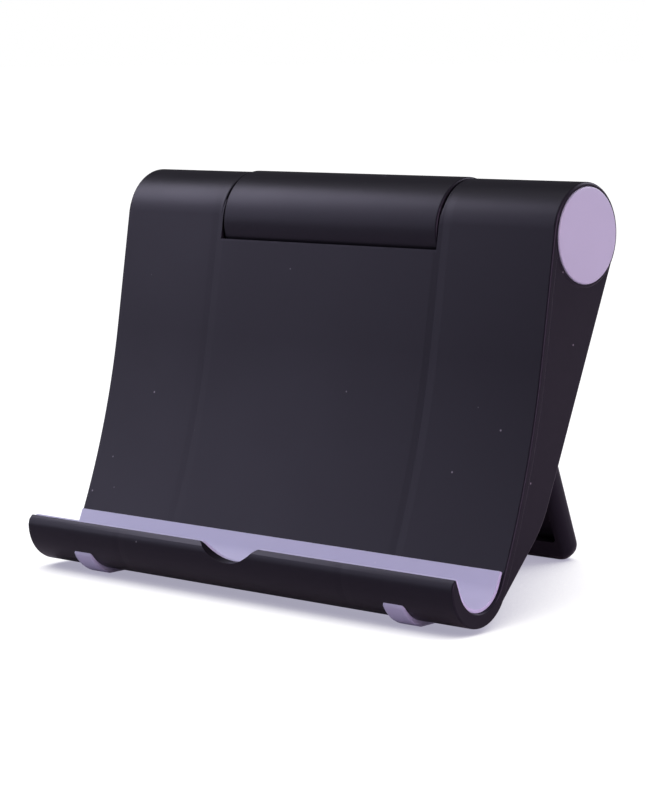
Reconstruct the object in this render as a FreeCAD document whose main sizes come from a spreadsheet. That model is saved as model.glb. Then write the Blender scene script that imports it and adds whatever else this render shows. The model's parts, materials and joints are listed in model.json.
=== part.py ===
import FreeCAD, Part
import math
import os
import re

import Sketcher
from FreeCAD import Placement, Rotation, Vector

# A folding phone stand: a curved cradle with a hooked lip, and a rear leg that turns between its two
# side barrels. X runs along the hinge, -Y faces the user, +Z is up, and the table is Z = 0.
# Every body is drawn in a frame on the hinge's axis, and its Placement sets that frame on the table.

DRIVING = {
    # the hinge's place, and the widths along X
    "hinge_y": 1.225,
    "hinge_z": 65.04,
    "width": 102.6,
    "knuckle_gap": 26,
    "leg_half": 25.7,
    "web_outer": 51.2,
    "web_wall": 2,
    "rib_inner": 26.2,
    "rib_wall": 1.6,
    # side section of the cradle: leans from the vertical, in degrees, and centres from the hinge's axis
    "side_radius": 9.25,
    "plate_lean": 9.6,
    "hook_lean": 24,
    "lip_lean": 21.5,
    "web_lean": 24.4,
    "underside_rise": 45,
    "heel_radius": 20,
    "trough_y": -29.63,
    "trough_z": -55.49,
    "trough_radius": 6,
    "hook_y": -30.06,
    "hook_z": -56.54,
    "hook_radius": 7.5,
    "lip_top_z": -54.64,
    "lip_edge_drop": 0.9,
    "lip_edge_in": 0.25,
    # cable notch in the lip
    "notch_depth": 3.3,
    "notch_bottom_radius": 8.5,
    "notch_shoulder_radius": 3,
    # side barrels
    "cap_bore": 7.6,
    "barrel_floor": 29.3,
    "cap_seat_radius": 8.52,
    "cap_seat_depth": 1.1,
    "axle_hole": 2.1,
    "knuckle_cut": 10.3,
    # end caps
    "cap_radius": 8.45,
    "cap_proud": 0.4,
    "cap_edge": 0.3,
    "cap_plug_radius": 7.55,
    "cap_plug_bore": 6.3,
    "cap_plug_length": 5.5,
    "cap_roof": 1.4,
    # trough liner
    "liner_thick": 0.7,
    "liner_gap": 0.02,
    "liner_half": 50.7,
    "liner_rise": 2.6,
    "liner_lip_short": 0.35,
    # front feet
    "foot_inner": 35.2,
    "foot_width": 4.8,
    "foot_clear": 0.1,
    "foot_from": 207,
    "foot_to": 288,
    "foot_seat": 6.8,
    "foot_y": -29.56,
    "foot_radius": 7.8,
    "foot_flat_depth": 0.2,
    # leg
    "leg_angle": 21.6,
    "knuckle_radius": 9.5,
    "leg_thick": 4.6,
    "tip_round": 1.9,
    "tip_corner": 3,
    "leg_rim": 2.6,
    "leg_recess": 2.4,
    "leg_recess_top": 13.5,
    "leg_rib": 1.6,
    "leg_rib_x": 7.5,
    "leg_bore": 7.2,
    "partition_half": 1.2,
    "keyway_reach": 8.3,
    "keyway_half": 1.2,
    "keyway_start": 17.9,
    # click detent: teeth that face along X, each side
    "tooth_count": 24,
    "tooth_rise": 0.8,
    "tooth_root": 0.62,
    "tooth_tip": 0.3,
    "tooth_inner": 4.2,
    "tooth_outer": 6.4,
    "tooth_play": 0.1,
    "detent_flat": 6.5,
    "detent_thick": 1.2,
    "detent_clear": 0.04,
    "follower_radius": 7.1,
    "follower_back": 20.4,
    "follower_seat": 22.9,
    "follower_seat_bore": 5.3,
    "lug_reach": 8.2,
    "lug_half": 1.1,
    "lug_inner": 20.9,
    "lug_outer": 25.1,
    # springs
    "spring_radius": 4.2,
    "spring_wire": 0.9,
    "spring_turns": 6,
    # axle, its nut and its washers
    "axle_radius": 2,
    "axle_end": 34.9,
    "head_flats": 7,
    "head_thick": 2.8,
    "nut_thick": 3.2,
    "thread_clear": 0.02,
    "washer_radius": 4.5,
    "washer_thick": 0.5,
}

DERIVED = {
    "half_width": "width / 2",
    # front face of the plate: a straight stretch that touches the side barrel, then one long arc
    "touch_y": "-side_radius * cos(plate_lean)",
    "touch_z": "side_radius * sin(plate_lean)",
    "plate_foot_y": "trough_y + trough_radius * cos(hook_lean)",
    "plate_foot_z": "trough_z - trough_radius * sin(hook_lean)",
    "knee_z": "(touch_y - touch_z * tan(plate_lean) - plate_foot_y + plate_foot_z * tan(hook_lean))"
    " / (tan(hook_lean) - tan(plate_lean))",
    "knee_y": "plate_foot_y + (knee_z - plate_foot_z) * tan(hook_lean)",
    "bend_run": "(knee_z - plate_foot_z) / cos(hook_lean)",
    "bend_top_y": "knee_y + bend_run * sin(plate_lean)",
    "bend_top_z": "knee_z + bend_run * cos(plate_lean)",
    "plate_bend": "bend_run / tan((hook_lean - plate_lean) / 2)",
    "wall": "(hook_y - trough_y) * cos(hook_lean) - (hook_z - trough_z) * sin(hook_lean)"
    " + hook_radius - trough_radius",
    # lip
    "lip_foot_y": "trough_y - trough_radius * cos(lip_lean)",
    "lip_foot_z": "trough_z - trough_radius * sin(lip_lean)",
    "lip_top_y": "lip_foot_y - (lip_top_z - lip_foot_z) * tan(lip_lean)",
    "lip_edge_y": "hook_y - hook_radius + lip_edge_in",
    "lip_edge_z": "lip_top_z - lip_edge_drop",
    # rear edge of the webs: two straight runs that meet at a rounded heel
    "web_top_y": "side_radius * cos(web_lean)",
    "web_top_z": "-side_radius * sin(web_lean)",
    "web_foot_y": "hook_y + hook_radius * sin(underside_rise)",
    "web_foot_z": "hook_z - hook_radius * cos(underside_rise)",
    "heel_y": "(web_top_z - web_top_y / tan(web_lean) - web_foot_z + web_foot_y * tan(underside_rise))"
    " / (tan(underside_rise) - 1 / tan(web_lean))",
    "heel_z": "web_foot_z + (heel_y - web_foot_y) * tan(underside_rise)",
    "heel_run": "heel_radius * tan((90 - web_lean - underside_rise) / 2)",
    # cable notch: one hollow arc between two shoulder arcs
    "notch_turn": "acos(1 - notch_depth / (notch_bottom_radius + notch_shoulder_radius))",
    "notch_half": "(notch_bottom_radius + notch_shoulder_radius) * sin(notch_turn)",
    "notch_flank_x": "notch_bottom_radius * sin(notch_turn)",
    "notch_flank_z": "lip_top_z - notch_shoulder_radius * (1 - cos(notch_turn))",
    # liner
    "liner_lean": "hook_lean - deg_per_rad * liner_rise / plate_bend",
    "bend_centre_y": "plate_foot_y - plate_bend * cos(hook_lean)",
    "bend_centre_z": "plate_foot_z + plate_bend * sin(hook_lean)",
    "liner_back": "plate_bend - liner_gap",
    "liner_front": "liner_back - liner_thick",
    "liner_under": "trough_radius - liner_gap",
    "liner_over": "liner_under - liner_thick",
    "liner_lip_run": "(lip_top_z - liner_lip_short - lip_foot_z) / cos(lip_lean)",
    # feet stand on the table, on a flat across their round underside
    "foot_z": "foot_radius - foot_flat_depth - hinge_z",
    "foot_flat_half": "sqrt(foot_radius^2 - (foot_radius - foot_flat_depth)^2)",
    # the leg's tip stands on the table
    "leg_reach": "tip_round + (hinge_z + (knuckle_radius - leg_thick + tip_round) * sin(leg_angle)"
    " - tip_round) / cos(leg_angle)",
    "leg_front": "knuckle_radius - leg_thick",
    # detent: the plates are turned so that teeth and gaps meet at the leg's rest angle
    "tooth_pitch": "360 / tooth_count",
    "index_angle": "leg_angle - 1.5 * tooth_pitch",
    "follower_face": "knuckle_gap - tooth_rise - tooth_play",
    "detent_corner": "detent_flat / cos(22.5)",
    "recess_corner": "(detent_flat + detent_clear) / cos(22.5)",
    # springs and fasteners
    "spring_start": "partition_half + spring_wire / 2 + thread_clear",
    "spring_height": "follower_seat - partition_half - spring_wire - 2 * thread_clear",
    "head_corner": "head_flats / 2 / cos(30)",
    "head_seat": "barrel_floor + washer_thick",
}

SIDES = {"left": -1, "right": 1}

doc = FreeCAD.newDocument("PhoneStand")
dims = doc.addObject("Spreadsheet::Sheet", "dims")
doc_bodies = []


def fill_sheet():
    cells = [(name, str(value)) for name, value in DRIVING.items()]
    cells.append(("deg_per_rad", str(180 / math.pi)))
    cells += [(name, "=" + formula) for name, formula in DERIVED.items()]
    for row, (name, text) in enumerate(cells, start=1):
        dims.set(f"A{row}", name)
        dims.set(f"B{row}", text)
        dims.setAlias(f"B{row}", name)
    doc.recompute()


ALIASES = set(DRIVING) | set(DERIVED)


def bound(formula):
    """The formula with each sheet alias written the way an expression outside the sheet needs it."""
    return re.sub(r"[a-z_]+", lambda m: "dims." + m[0] if m[0] in ALIASES else m[0], formula)


def value(formula):
    return float(dims.evalExpression(formula))


def origin_feature(body, role):
    return next(f for f in body.Origin.OriginFeatures if f.Role == role)


def new_body(label, turn=None):
    """A body in the hinge's frame. turn is a formula for its turn about the hinge's axis."""
    body = doc.addObject("PartDesign::Body", label)
    body.Label = label
    body.Placement = Placement(Vector(0, 0, 0), Rotation(Vector(1, 0, 0), 0))
    body.setExpression(".Placement.Base.y", bound("hinge_y"))
    body.setExpression(".Placement.Base.z", bound("hinge_z"))
    if turn:
        body.Placement = Placement(Vector(0, 0, 0), Rotation(Vector(1, 0, 0), value(turn)))
        body.setExpression(".Placement.Rotation.Angle", bound(turn))
    doc_bodies.append(body)
    return body


def new_sketch(body, name, role, offset):
    sketch = body.newObject("Sketcher::SketchObject", name)
    sketch.AttachmentSupport = [(origin_feature(body, role), "")]
    sketch.MapMode = "FlatFace"
    if offset:
        sketch.setExpression(".AttachmentOffset.Base.z", bound(offset))
    return sketch


def pin_point(sketch, geometry, vertex, x, y):
    """Ties a point to the sketch's origin by two formulas, or to an axis where a formula is nought."""
    for kind, axis, formula in (("DistanceX", -2, x), ("DistanceY", -1, y)):
        size = value(formula)
        if abs(size) < 1e-9:
            sketch.addConstraint(Sketcher.Constraint("PointOnObject", geometry, vertex, axis))
            continue
        index = sketch.addConstraint(Sketcher.Constraint(kind, geometry, vertex, size))
        sketch.setExpression(f"Constraints[{index}]", bound(formula))


def draw_outline(sketch, corners, arcs=None):
    """A closed outline. arcs maps a span's number to (radius formula, turn): turn 1 bends left, -1 right."""
    arcs = arcs or {}
    points = [Vector(value(x), value(y), 0) for x, y in corners]
    spans = []
    for i, start in enumerate(points):
        end = points[(i + 1) % len(points)]
        if i not in arcs:
            spans.append((sketch.addGeometry(Part.LineSegment(start, end)), 1, 2))
            continue
        radius, turn = value(arcs[i][0]), arcs[i][1]
        chord = end - start
        rise = math.sqrt(max(radius**2 - (chord.Length / 2) ** 2, 0))
        left = Vector(-chord.y, chord.x, 0).normalize()
        centre = (start + end) * 0.5 + left * rise * turn
        first, last = (start, end) if turn > 0 else (end, start)
        angles = [math.atan2(p.y - centre.y, p.x - centre.x) for p in (first, last)]
        arc = Part.ArcOfCircle(Part.Circle(centre, Vector(0, 0, 1), radius), *angles)
        spans.append((sketch.addGeometry(arc), 1 if turn > 0 else 2, 2 if turn > 0 else 1))
    for i, (geometry, entry, _) in enumerate(spans):
        before, _, leave = spans[i - 1]
        sketch.addConstraint(Sketcher.Constraint("Coincident", before, leave, geometry, entry))
        pin_point(sketch, geometry, entry, *corners[i])
        if i in arcs:
            index = sketch.addConstraint(Sketcher.Constraint("Radius", geometry, value(arcs[i][0])))
            sketch.setExpression(f"Constraints[{index}]", bound(arcs[i][0]))


def draw_circle(sketch, radius, x="0", y="0"):
    centre = Vector(value(x), value(y), 0)
    geometry = sketch.addGeometry(Part.Circle(centre, Vector(0, 0, 1), value(radius)))
    pin_point(sketch, geometry, 3, x, y)
    index = sketch.addConstraint(Sketcher.Constraint("Radius", geometry, value(radius)))
    sketch.setExpression(f"Constraints[{index}]", bound(radius))


def draw_box(sketch, x_low, x_high, y_low, y_high):
    draw_outline(sketch, [(x_low, y_low), (x_high, y_low), (x_high, y_high), (x_low, y_high)])


def draw_polygon(sketch, sides, corner_radius, first_angle):
    step = 360 / sides
    angles = [f"({first_angle} + {step * k})" for k in range(sides)]
    draw_outline(sketch, [(f"{corner_radius} * cos{a}", f"{corner_radius} * sin{a}") for a in angles])


def extrude(body, kind, name, draw, start, length, role="YZ_Plane"):
    """A Pad or Pocket from start, along the plane's normal, that changes the body's volume."""
    before = body.Shape.Volume if body.Tip else 0
    sketch = new_sketch(body, name + "_sketch", role, start)
    draw(sketch)
    doc.recompute()
    feature = body.newObject("PartDesign::" + kind, name)
    feature.Profile = sketch
    feature.setExpression("Length", bound(length))
    feature.Reversed = kind == "Pocket"
    doc.recompute()
    after = body.Shape.Volume
    if (after - before) * (1 if kind == "Pad" else -1) <= 0:
        raise RuntimeError(f"{body.Label}: {name} changed nothing")
    return feature


def along(side, near, far):
    """Start and length of a stretch from near to far of the middle plane, on one side of it."""
    return (near if side > 0 else f"-({far})"), f"({far}) - ({near})"


def both_ways(half):
    return f"-({half})", f"2 * ({half})"


def round_edges(body, name, radius, wanted):
    """Fillets the edges of the body's tip that wanted(edge) picks."""
    base = body.Tip
    edges = [f"Edge{i}" for i, e in enumerate(base.Shape.Edges, start=1) if wanted(e)]
    fillet = body.newObject("PartDesign::Fillet", name)
    fillet.Base = (base, edges)
    fillet.setExpression("Radius", bound(radius))
    doc.recompute()
    return fillet


def offset_point(y, z, lean, distance):
    """A point moved by distance along the rearward normal of a face that leans by lean."""
    return f"{y} + ({distance}) * cos({lean})", f"{z} - ({distance}) * sin({lean})"


def polar(y, z, radius, angle):
    return f"{y} + ({radius}) * cos({angle})", f"{z} + ({radius}) * sin({angle})"


def draw_shell_section(sketch):
    corners = [
        ("touch_y", "touch_z"),
        ("bend_top_y", "bend_top_z"),
        ("plate_foot_y", "plate_foot_z"),
        ("lip_foot_y", "lip_foot_z"),
        ("lip_top_y", "lip_top_z"),
        ("lip_edge_y", "lip_edge_z"),
        ("hook_y - hook_radius", "hook_z"),
        offset_point("hook_y", "hook_z", "hook_lean", "hook_radius"),
        offset_point("bend_top_y", "bend_top_z", "plate_lean", "wall"),
        offset_point("touch_y", "touch_z", "plate_lean", "wall"),
    ]
    arcs = {
        1: ("plate_bend", -1),
        2: ("trough_radius", -1),
        6: ("hook_radius", 1),
        7: ("plate_bend + wall", 1),
    }
    draw_outline(sketch, corners, arcs)


def draw_web_section(sketch):
    corners = [
        ("touch_y", "touch_z"),
        ("bend_top_y", "bend_top_z"),
        ("plate_foot_y", "plate_foot_z"),
        ("web_foot_y", "web_foot_z"),
        ("heel_y - heel_run * cos(underside_rise)", "heel_z - heel_run * sin(underside_rise)"),
        ("heel_y + heel_run * sin(web_lean)", "heel_z + heel_run * cos(web_lean)"),
        ("web_top_y", "web_top_z"),
    ]
    draw_outline(sketch, corners, {1: ("plate_bend", -1), 4: ("heel_radius", 1)})


def draw_notch(sketch):
    """The cable notch seen from the front: hollow in the middle, with a rounded shoulder each side."""
    corners = [
        ("-notch_half", "lip_top_z"),
        ("-notch_flank_x", "notch_flank_z"),
        ("notch_flank_x", "notch_flank_z"),
        ("notch_half", "lip_top_z"),
        ("notch_half", "lip_top_z + notch_depth"),
        ("-notch_half", "lip_top_z + notch_depth"),
    ]
    arcs = {
        0: ("notch_shoulder_radius", -1),
        1: ("notch_bottom_radius", 1),
        2: ("notch_shoulder_radius", -1),
    }
    draw_outline(sketch, corners, arcs)


def cut_notch(body):
    """Cuts forward, from inside the trough through the lip."""
    extrude(body, "Pocket", "cable_notch", draw_notch, "-trough_y", "2 * hook_radius", "XZ_Plane")


def make_cradle():
    body = new_body("cradle")
    extrude(body, "Pad", "shell", draw_shell_section, *both_ways("half_width"))
    for name, side in SIDES.items():
        web = along(side, "web_outer - web_wall", "web_outer")
        extrude(body, "Pad", f"web_{name}", draw_web_section, *web)
        rib = along(side, "rib_inner", "rib_inner + rib_wall")
        extrude(body, "Pad", f"rib_{name}", draw_web_section, *rib)
        barrel = along(side, "knuckle_gap", "half_width")
        extrude(body, "Pad", f"barrel_{name}", lambda s: draw_circle(s, "side_radius"), *barrel)
    ledge = both_ways("knuckle_gap")
    extrude(body, "Pocket", "knuckle_cut", lambda s: draw_circle(s, "knuckle_cut"), *ledge)
    for name, side in SIDES.items():
        bore = along(side, "barrel_floor", "half_width")
        extrude(body, "Pocket", f"bore_{name}", lambda s: draw_circle(s, "cap_bore"), *bore)
        seat = along(side, "half_width - cap_seat_depth", "half_width")
        extrude(body, "Pocket", f"cap_seat_{name}", lambda s: draw_circle(s, "cap_seat_radius"), *seat)
        recess = along(side, "knuckle_gap", "knuckle_gap + detent_thick")
        extrude(body, "Pocket", f"detent_recess_{name}", draw_recess, *recess)
        floor = along(side, "knuckle_gap", "barrel_floor")
        extrude(body, "Pocket", f"axle_hole_{name}", lambda s: draw_circle(s, "axle_hole"), *floor)
        foot = along(side, "foot_inner - foot_clear", "foot_inner + foot_width + foot_clear")
        extrude(body, "Pocket", f"foot_recess_{name}", draw_foot_recess, *foot)
    cut_notch(body)
    return body


def draw_recess(sketch):
    draw_polygon(sketch, 8, "recess_corner", "index_angle + 22.5")


def draw_foot_recess(sketch):
    outside = "foot_radius + 2"
    corners = [
        polar("hook_y", "hook_z", "foot_seat", "foot_from - 1"),
        polar("hook_y", "hook_z", "foot_seat", "foot_to + 1"),
        polar("hook_y", "hook_z", outside, "foot_to + 1"),
        polar("hook_y", "hook_z", outside, "foot_from - 1"),
    ]
    draw_outline(sketch, corners, {0: ("foot_seat", 1), 2: (outside, -1)})


def draw_foot(sketch):
    seat = "foot_seat + liner_gap"
    corners = [
        polar("hook_y", "hook_z", seat, "foot_from"),
        polar("hook_y", "hook_z", seat, "foot_to"),
        polar("foot_y", "foot_z", "foot_radius", "foot_to"),
        ("foot_y + foot_flat_half", "-hinge_z"),
        ("foot_y - foot_flat_half", "-hinge_z"),
        polar("foot_y", "foot_z", "foot_radius", "foot_from"),
    ]
    draw_outline(sketch, corners, {0: (seat, 1), 2: ("foot_radius", -1), 4: ("foot_radius", -1)})


def make_foot(name, side):
    body = new_body(f"front_foot_{name}")
    extrude(body, "Pad", "pad", draw_foot, *along(side, "foot_inner", "foot_inner + foot_width"))
    return body


def draw_liner_section(sketch):
    centre = ("bend_centre_y", "bend_centre_z")
    trough = ("trough_y", "trough_z")
    lip_back = polar(*trough, "liner_under", "180 + lip_lean")
    lip_front = polar(*trough, "liner_over", "180 + lip_lean")

    def raised(point):
        return f"{point[0]} - liner_lip_run * sin(lip_lean)", f"{point[1]} + liner_lip_run * cos(lip_lean)"

    corners = [
        offset_point(*centre, "liner_lean", "liner_back"),
        offset_point(*trough, "hook_lean", "liner_under"),
        lip_back,
        raised(lip_back),
        raised(lip_front),
        lip_front,
        offset_point(*trough, "hook_lean", "liner_over"),
        offset_point(*centre, "liner_lean", "liner_front"),
    ]
    arcs = {
        0: ("liner_back", -1),
        1: ("liner_under", -1),
        5: ("liner_over", 1),
        6: ("liner_front", 1),
    }
    draw_outline(sketch, corners, arcs)


def make_liner():
    body = new_body("trough_liner")
    extrude(body, "Pad", "strip", draw_liner_section, *both_ways("liner_half"))
    cut_notch(body)
    return body


def make_cap(name, side):
    """A round cap that stands a little proud of its barrel, with a hollow plug that grips the bore."""
    body = new_body(f"end_cap_{name}")
    seat = "half_width - cap_seat_depth"
    face = "half_width + cap_proud"
    extrude(body, "Pad", "disc", lambda s: draw_circle(s, "cap_radius"), *along(side, seat, face))
    plug = along(side, f"{seat} - cap_plug_length", seat)
    extrude(body, "Pad", "plug", lambda s: draw_circle(s, "cap_plug_radius"), *plug)
    hollow = along(side, f"{seat} - cap_plug_length", f"{face} - cap_roof")
    extrude(body, "Pocket", "hollow", lambda s: draw_circle(s, "cap_plug_bore"), *hollow)
    rim = side * value(face)
    round_edges(body, "rim", "cap_edge", lambda e: all(abs(v.X - rim) < 1e-6 for v in e.Vertexes))
    return body


def make_leg():
    """The leg, in a frame whose +Z runs from its tip up to the hinge and +Y is its rear face's normal."""
    body = new_body("leg", "leg_angle")
    width = both_ways("leg_half")
    extrude(body, "Pad", "knuckle", lambda s: draw_circle(s, "knuckle_radius"), *width)
    extrude(body, "Pad", "panel", draw_leg_panel, *width)
    through = ("-2 * knuckle_radius", "4 * knuckle_radius")
    extrude(body, "Pocket", "tip_corners", draw_tip_corners, *through, "XZ_Plane")
    recess_end = "-leg_reach + leg_rim + tip_round"
    recess = ("leg_front - 1", "leg_front + leg_recess", recess_end, "-leg_recess_top")
    inside = both_ways("leg_half - leg_rim")
    extrude(body, "Pocket", "recess", lambda s: draw_box(s, *recess), *inside)
    rib = ("leg_front + 0.4", "leg_front + leg_recess + 0.4", f"{recess_end} - 0.4", "-leg_recess_top + 0.4")
    for name, side in SIDES.items():
        place = along(side, "leg_rib_x", "leg_rib_x + leg_rib")
        extrude(body, "Pad", f"rib_{name}", lambda s: draw_box(s, *rib), *place)
        bore = along(side, "partition_half", "leg_half")
        extrude(body, "Pocket", f"bore_{name}", lambda s: draw_circle(s, "leg_bore"), *bore)
        wide = ("-keyway_reach", "keyway_reach", "-keyway_half", "keyway_half")
        tall = wide[2:] + wide[:2]
        keyway = along(side, "keyway_start", "leg_half")
        extrude(body, "Pocket", f"keyways_y_{name}", lambda s: draw_box(s, *wide), *keyway)
        extrude(body, "Pocket", f"keyways_z_{name}", lambda s: draw_box(s, *tall), *keyway)
    partition = both_ways("partition_half")
    extrude(body, "Pocket", "axle_hole", lambda s: draw_circle(s, "axle_hole"), *partition)
    return body


def draw_leg_panel(sketch):
    corners = [
        ("leg_front", "0"),
        ("leg_front", "-leg_reach + tip_round"),
        ("leg_front + tip_round", "-leg_reach"),
        ("knuckle_radius - tip_round", "-leg_reach"),
        ("knuckle_radius", "-leg_reach + tip_round"),
        ("knuckle_radius", "0"),
    ]
    draw_outline(sketch, corners, {1: ("tip_round", 1), 3: ("tip_round", 1)})


def draw_tip_corners(sketch):
    for side in SIDES.values():
        corners = [
            (f"{side} * (leg_half - tip_corner)", "-leg_reach"),
            (f"{side} * (leg_half - tip_corner)", "-leg_reach - 1"),
            (f"{side} * (leg_half + 1)", "-leg_reach - 1"),
            (f"{side} * (leg_half + 1)", "-leg_reach + tip_corner"),
            (f"{side} * leg_half", "-leg_reach + tip_corner"),
        ]
        draw_outline(sketch, corners, {4: ("tip_corner", -side)})


def draw_ring(sketch, outer, inner):
    draw_circle(sketch, outer)
    draw_circle(sketch, inner)


def add_teeth(body, side, root, tip):
    """One tooth that stands from root to tip along X, then the whole ring of them."""
    inside = f"{root} + 0.05" if value(root) > value(tip) else f"{root} - 0.05"

    def draw(sketch):
        corners = [
            (f"{side} * ({inside})", "-tooth_root / 2"),
            (f"{side} * ({tip})", "-tooth_tip / 2"),
            (f"{side} * ({tip})", "tooth_tip / 2"),
            (f"{side} * ({inside})", "tooth_root / 2"),
        ]
        draw_outline(sketch, corners)

    tooth = extrude(body, "Pad", "tooth", draw, "tooth_inner", "tooth_outer - tooth_inner", "XY_Plane")
    ring = body.newObject("PartDesign::PolarPattern", "tooth_ring")
    ring.Originals = [tooth]
    ring.Axis = (origin_feature(body, "X_Axis"), [""])
    ring.Angle = 360
    ring.setExpression("Occurrences", bound("tooth_count"))
    body.Tip = ring
    doc.recompute()


def make_detent_plate(name, side):
    body = new_body(f"detent_plate_{name}", "index_angle")
    outer = "knuckle_gap + detent_thick - liner_gap"

    def draw(sketch):
        draw_polygon(sketch, 8, "detent_corner", "22.5")
        draw_circle(sketch, "axle_hole")

    extrude(body, "Pad", "base", draw, *along(side, "knuckle_gap", outer))
    add_teeth(body, side, "knuckle_gap", "knuckle_gap - tooth_rise")
    return body


def make_follower(name, side):
    """The half of the detent that slides in the leg's knuckle, with four lugs in the keyways."""
    body = new_body(f"detent_follower_{name}", "leg_angle")
    ring = along(side, "follower_back", "follower_face")
    extrude(body, "Pad", "ring", lambda s: draw_circle(s, "follower_radius"), *ring)
    lugs = along(side, "lug_inner", "lug_outer")
    wide = ("-lug_reach", "lug_reach", "-lug_half", "lug_half")
    extrude(body, "Pad", "lugs_y", lambda s: draw_box(s, *wide), *lugs)
    extrude(body, "Pad", "lugs_z", lambda s: draw_box(s, *(wide[2:] + wide[:2])), *lugs)
    extrude(body, "Pocket", "axle_hole", lambda s: draw_circle(s, "axle_hole"), *ring)
    seat = along(side, "follower_back", "follower_seat")
    extrude(body, "Pocket", "spring_seat", lambda s: draw_circle(s, "follower_seat_bore"), *seat)
    add_teeth(body, side, "follower_face", "follower_face + tooth_rise")
    return body


def make_spring(name, side):
    body = new_body(f"spring_{name}")
    sketch = new_sketch(body, "wire_sketch", "XY_Plane", None)
    start = "spring_start" if side > 0 else "-spring_start - spring_height"
    draw_circle(sketch, "spring_wire / 2", start, "spring_radius")
    doc.recompute()
    coil = body.newObject("PartDesign::AdditiveHelix", "coil")
    coil.Profile = sketch
    coil.ReferenceAxis = (origin_feature(body, "X_Axis"), [""])
    coil.Mode = "height-turns-angle"
    coil.setExpression("Height", bound("spring_height"))
    coil.setExpression("Turns", bound("spring_turns"))
    doc.recompute()
    return body


def make_axle():
    """A long hexagon-headed bolt: its head in the left barrel, its threaded end in the right one."""
    body = new_body("axle_bolt")
    shank = ("-head_seat", "head_seat + axle_end")
    extrude(body, "Pad", "shank", lambda s: draw_circle(s, "axle_radius"), *shank)
    head = along(-1, "head_seat", "head_seat + head_thick")
    extrude(body, "Pad", "head", lambda s: draw_polygon(s, 6, "head_corner", "0"), *head)
    return body


def make_nut():
    body = new_body("axle_nut")

    def draw(sketch):
        draw_polygon(sketch, 6, "head_corner", "0")
        draw_circle(sketch, "axle_radius + thread_clear")

    extrude(body, "Pad", "hexagon", draw, *along(1, "head_seat", "head_seat + nut_thick"))
    return body


def make_washer(name, side):
    body = new_body(f"axle_washer_{name}")
    place = along(side, "barrel_floor", "head_seat")
    extrude(body, "Pad", "ring", lambda s: draw_ring(s, "washer_radius", "axle_hole"), *place)
    return body


def check_model():
    for item in doc.Objects:
        bad = [state for state in item.State if state in ("Invalid", "Error")]
        if bad:
            raise RuntimeError(f"{item.Label} is {bad[0]}")
    for body in doc_bodies:
        if body.Shape.isNull() or not body.Shape.isValid() or len(body.Shape.Solids) != 1:
            raise RuntimeError(f"{body.Label} isn't one valid solid")


def main():
    fill_sheet()
    make_cradle()
    make_liner()
    make_leg()
    make_axle()
    make_nut()
    for name, side in SIDES.items():
        make_foot(name, side)
        make_cap(name, side)
        make_washer(name, side)
        make_detent_plate(name, side)
        make_follower(name, side)
        make_spring(name, side)
    doc.recompute()
    check_model()
    os.makedirs("parts", exist_ok=True)
    for body in doc_bodies:
        body.Shape.exportStep(f"parts/{body.Label}.step")
        box = body.Shape.BoundBox
        print(f"{body.Label:24s} volume {body.Shape.Volume:9.1f}  y {box.YMin:7.2f} {box.YMax:7.2f}"
              f"  z {box.ZMin:6.2f} {box.ZMax:6.2f}")


main()
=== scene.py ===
import json
import math

import bmesh
import bpy
from mathutils import Matrix, Vector


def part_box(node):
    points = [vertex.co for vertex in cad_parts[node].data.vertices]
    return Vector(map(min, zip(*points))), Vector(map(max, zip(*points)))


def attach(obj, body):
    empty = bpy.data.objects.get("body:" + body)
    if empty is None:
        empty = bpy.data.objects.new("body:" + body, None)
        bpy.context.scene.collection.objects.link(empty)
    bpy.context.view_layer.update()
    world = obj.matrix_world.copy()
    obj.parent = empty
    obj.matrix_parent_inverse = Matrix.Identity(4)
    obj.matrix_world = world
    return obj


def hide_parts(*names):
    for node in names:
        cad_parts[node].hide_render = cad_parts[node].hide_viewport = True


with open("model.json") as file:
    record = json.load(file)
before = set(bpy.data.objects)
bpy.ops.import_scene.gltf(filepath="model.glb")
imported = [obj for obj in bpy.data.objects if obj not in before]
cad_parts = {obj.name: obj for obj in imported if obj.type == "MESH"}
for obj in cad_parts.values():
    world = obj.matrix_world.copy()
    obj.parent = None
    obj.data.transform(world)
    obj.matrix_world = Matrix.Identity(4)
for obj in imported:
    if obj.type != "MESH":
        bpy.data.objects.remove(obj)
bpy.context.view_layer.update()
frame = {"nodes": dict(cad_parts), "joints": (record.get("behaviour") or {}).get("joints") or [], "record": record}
print("frame loaded:", len(frame["nodes"]), "nodes")

mm = 0.001
joints = {j["name"]: j for j in frame["joints"]}
hinge = Vector(joints["leg_hinge"]["pos_m"])  # every profile below is in mm from this axis
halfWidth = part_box("cradle")[1].x / mm

profile = {
    "barrelRadius": 9.25,
    "plateLean": 9.6,  # degrees from upright
    "hookLean": 24,
    "lipLean": 21.5,
    "trough": (-29.63, -55.49),
    "troughRadius": 6,
    "hook": (-30.06, -56.54),
    "hookRadius": 7.5,
    "lipTop": -54.64,
    "lipEdgeDrop": 0.9,
    "lipEdgeIn": 0.25,
    "knuckleCut": 10.3,
    "knuckleGap": 26,
}


def polar(centre, radius, degrees):
    angle = math.radians(degrees)
    return centre[0] + radius * math.cos(angle), centre[1] + radius * math.sin(angle)


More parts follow.
